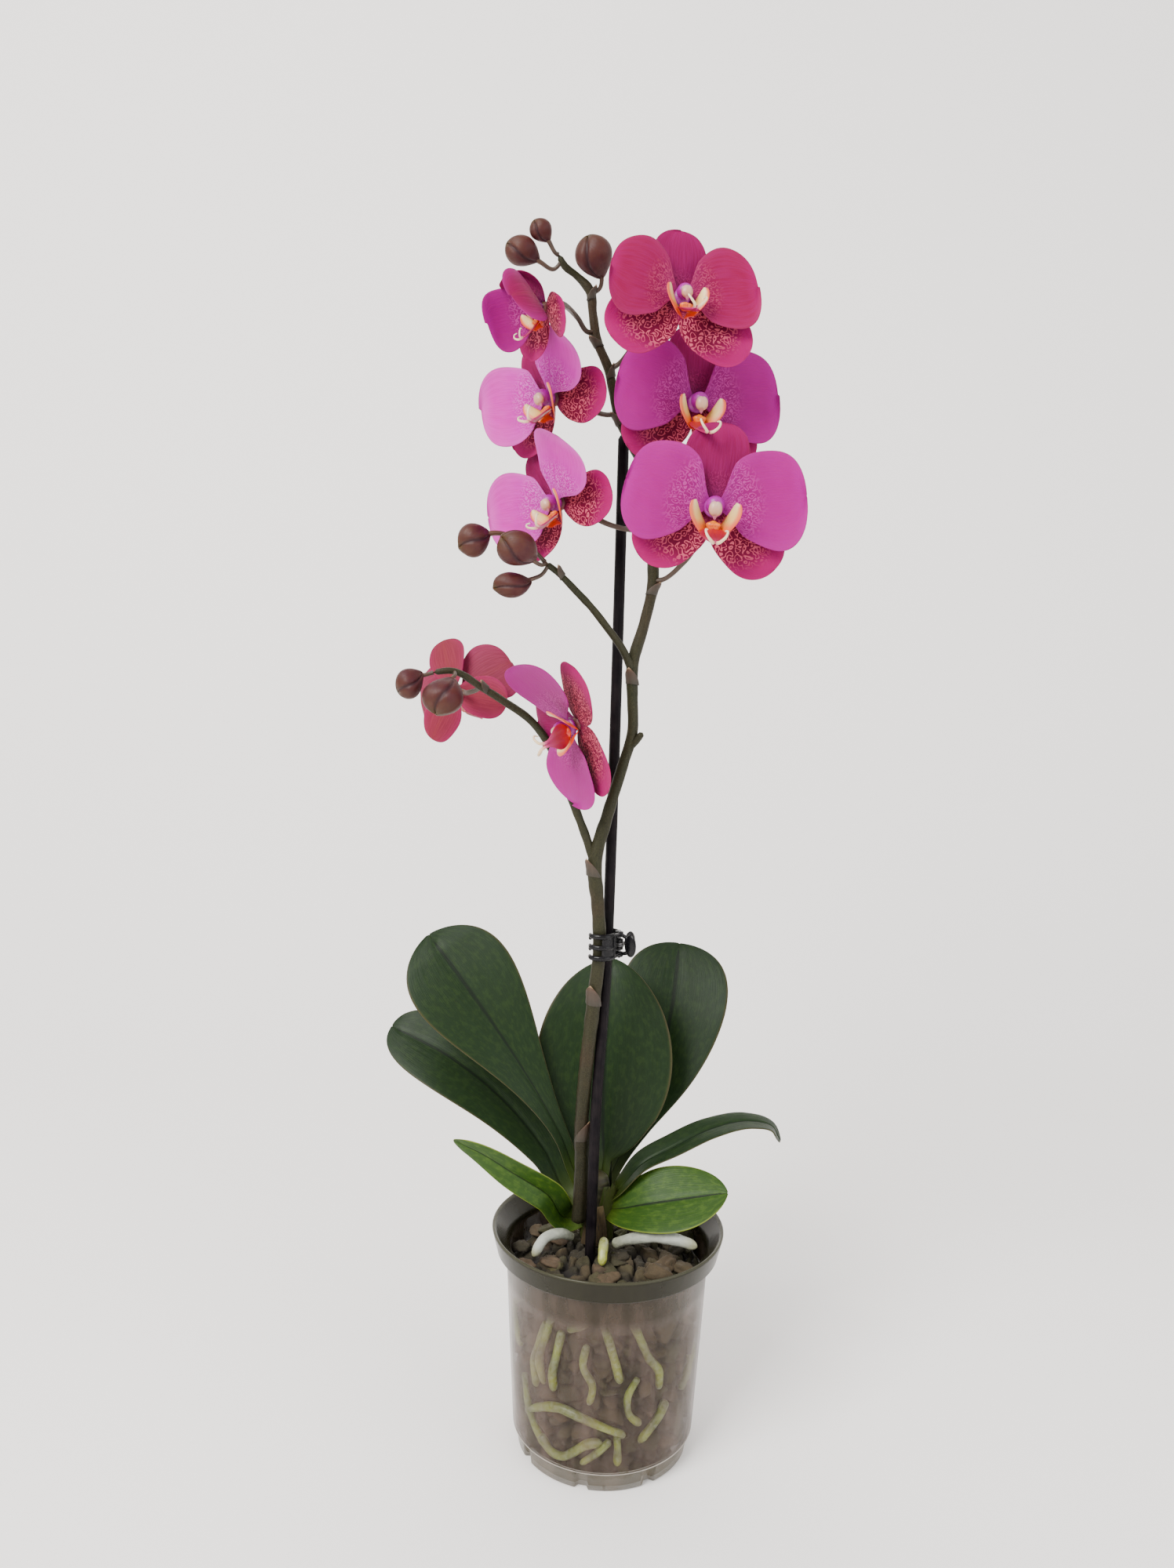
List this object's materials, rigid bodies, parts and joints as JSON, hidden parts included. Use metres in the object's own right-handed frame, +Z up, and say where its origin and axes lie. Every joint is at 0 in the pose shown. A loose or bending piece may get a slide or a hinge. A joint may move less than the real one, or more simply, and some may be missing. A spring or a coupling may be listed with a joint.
{
  "type": "potted orchid",
  "caption": "Moth orchid in a clear pot: strap leaves, a staked branching spike with pink flowers and buds, and a small hinged clip.",
  "frame": {"origin": "centre of the pot's flat underside, on the surface it stands on", "axes": "+Z up along the pot's axis, -Y towards the side that the right-hand flowers face"},
  "size_m": [0.217, 0.1553, 0.6082],
  "materials": {
    "pot_plastic": "clear, hazed with film and moisture",
    "bark": "rough bark chips",
    "crown": "matt",
    "papery_sheath": "dry and thin",
    "stem": "satin",
    "stake_plastic": "satin black",
    "clip_plastic": "gloss",
    "clip_metal": "plain wire",
    "leaf": "waxy",
    "young_leaf": "waxy, mottled",
    "dry_root": "matt silver skin",
    "wet_root": "moist",
    "sepal": "velvety",
    "petal": "velvety",
    "lip": "waxy",
    "bud": "waxy"
  },
  "bodies": {
    "plant": {"aerial_root_left": "dry_root", "aerial_root_right": "dry_root", "aerial_root_tip": "dry_root", "bark_chunk_1": "bark", "bark_chunk_2": "bark", "bud_1": "bud", "bud_2": "bud", "bud_3": "bud", "bud_4": "bud", "bud_5": "bud", "bud_6": "bud", "bud_7": "bud", "bud_8": "bud", "clip_back_jaw": "clip_plastic", "clip_pin": "clip_metal", "flower_1_lip": "lip", "flower_1_petals": "petal", "flower_1_sepals": "sepal", "flower_2_lip": "lip", "flower_2_petals": "petal", "flower_2_sepals": "sepal", "flower_3_lip": "lip", "flower_3_petals": "petal", "flower_3_sepals": "sepal", "flower_4_lip": "lip", "flower_4_petals": "petal", "flower_4_sepals": "sepal", "flower_5_lip": "lip", "flower_5_petals": "petal", "flower_5_sepals": "sepal", "flower_6_lip": "lip", "flower_6_petals": "petal", "flower_6_sepals": "sepal", "flower_7_lip": "lip", "flower_7_petals": "petal", "flower_7_sepals": "sepal", "flower_8_lip": "lip", "flower_8_petals": "petal", "flower_8_sepals": "sepal", "flower_spike": "stem", "growing_medium": "bark", "leaf_centre": "leaf", "leaf_left_back": "leaf", "leaf_left_low": "young_leaf", "leaf_right_back": "leaf", "leaf_right_long": "leaf", "leaf_right_low": "young_leaf", "leaf_upper_left": "leaf", "nursery_pot": "pot_plastic", "old_sheath": "papery_sheath", "plant_crown": "crown", "support_stake": "stake_plastic", "wall_root_1": "wet_root", "wall_root_2": "wet_root", "wall_root_3": "wet_root", "wall_root_4": "wet_root", "wall_root_5": "wet_root", "wall_root_6": "wet_root", "wall_root_7": "wet_root"},
    "clip_jaw": {"clip_front_jaw": "clip_plastic"}
  },
  "joints": [
    {"name": "clip_hinge", "type": "hinge", "parent": "plant", "child": "clip_jaw", "pos_m": [0.0014, -0.008, 0.268], "axis": [0, 0, 1], "range_deg": [0, 30], "stiffness_Nm_per_rad": 0.004, "springref_deg": -11.46}
  ]
}
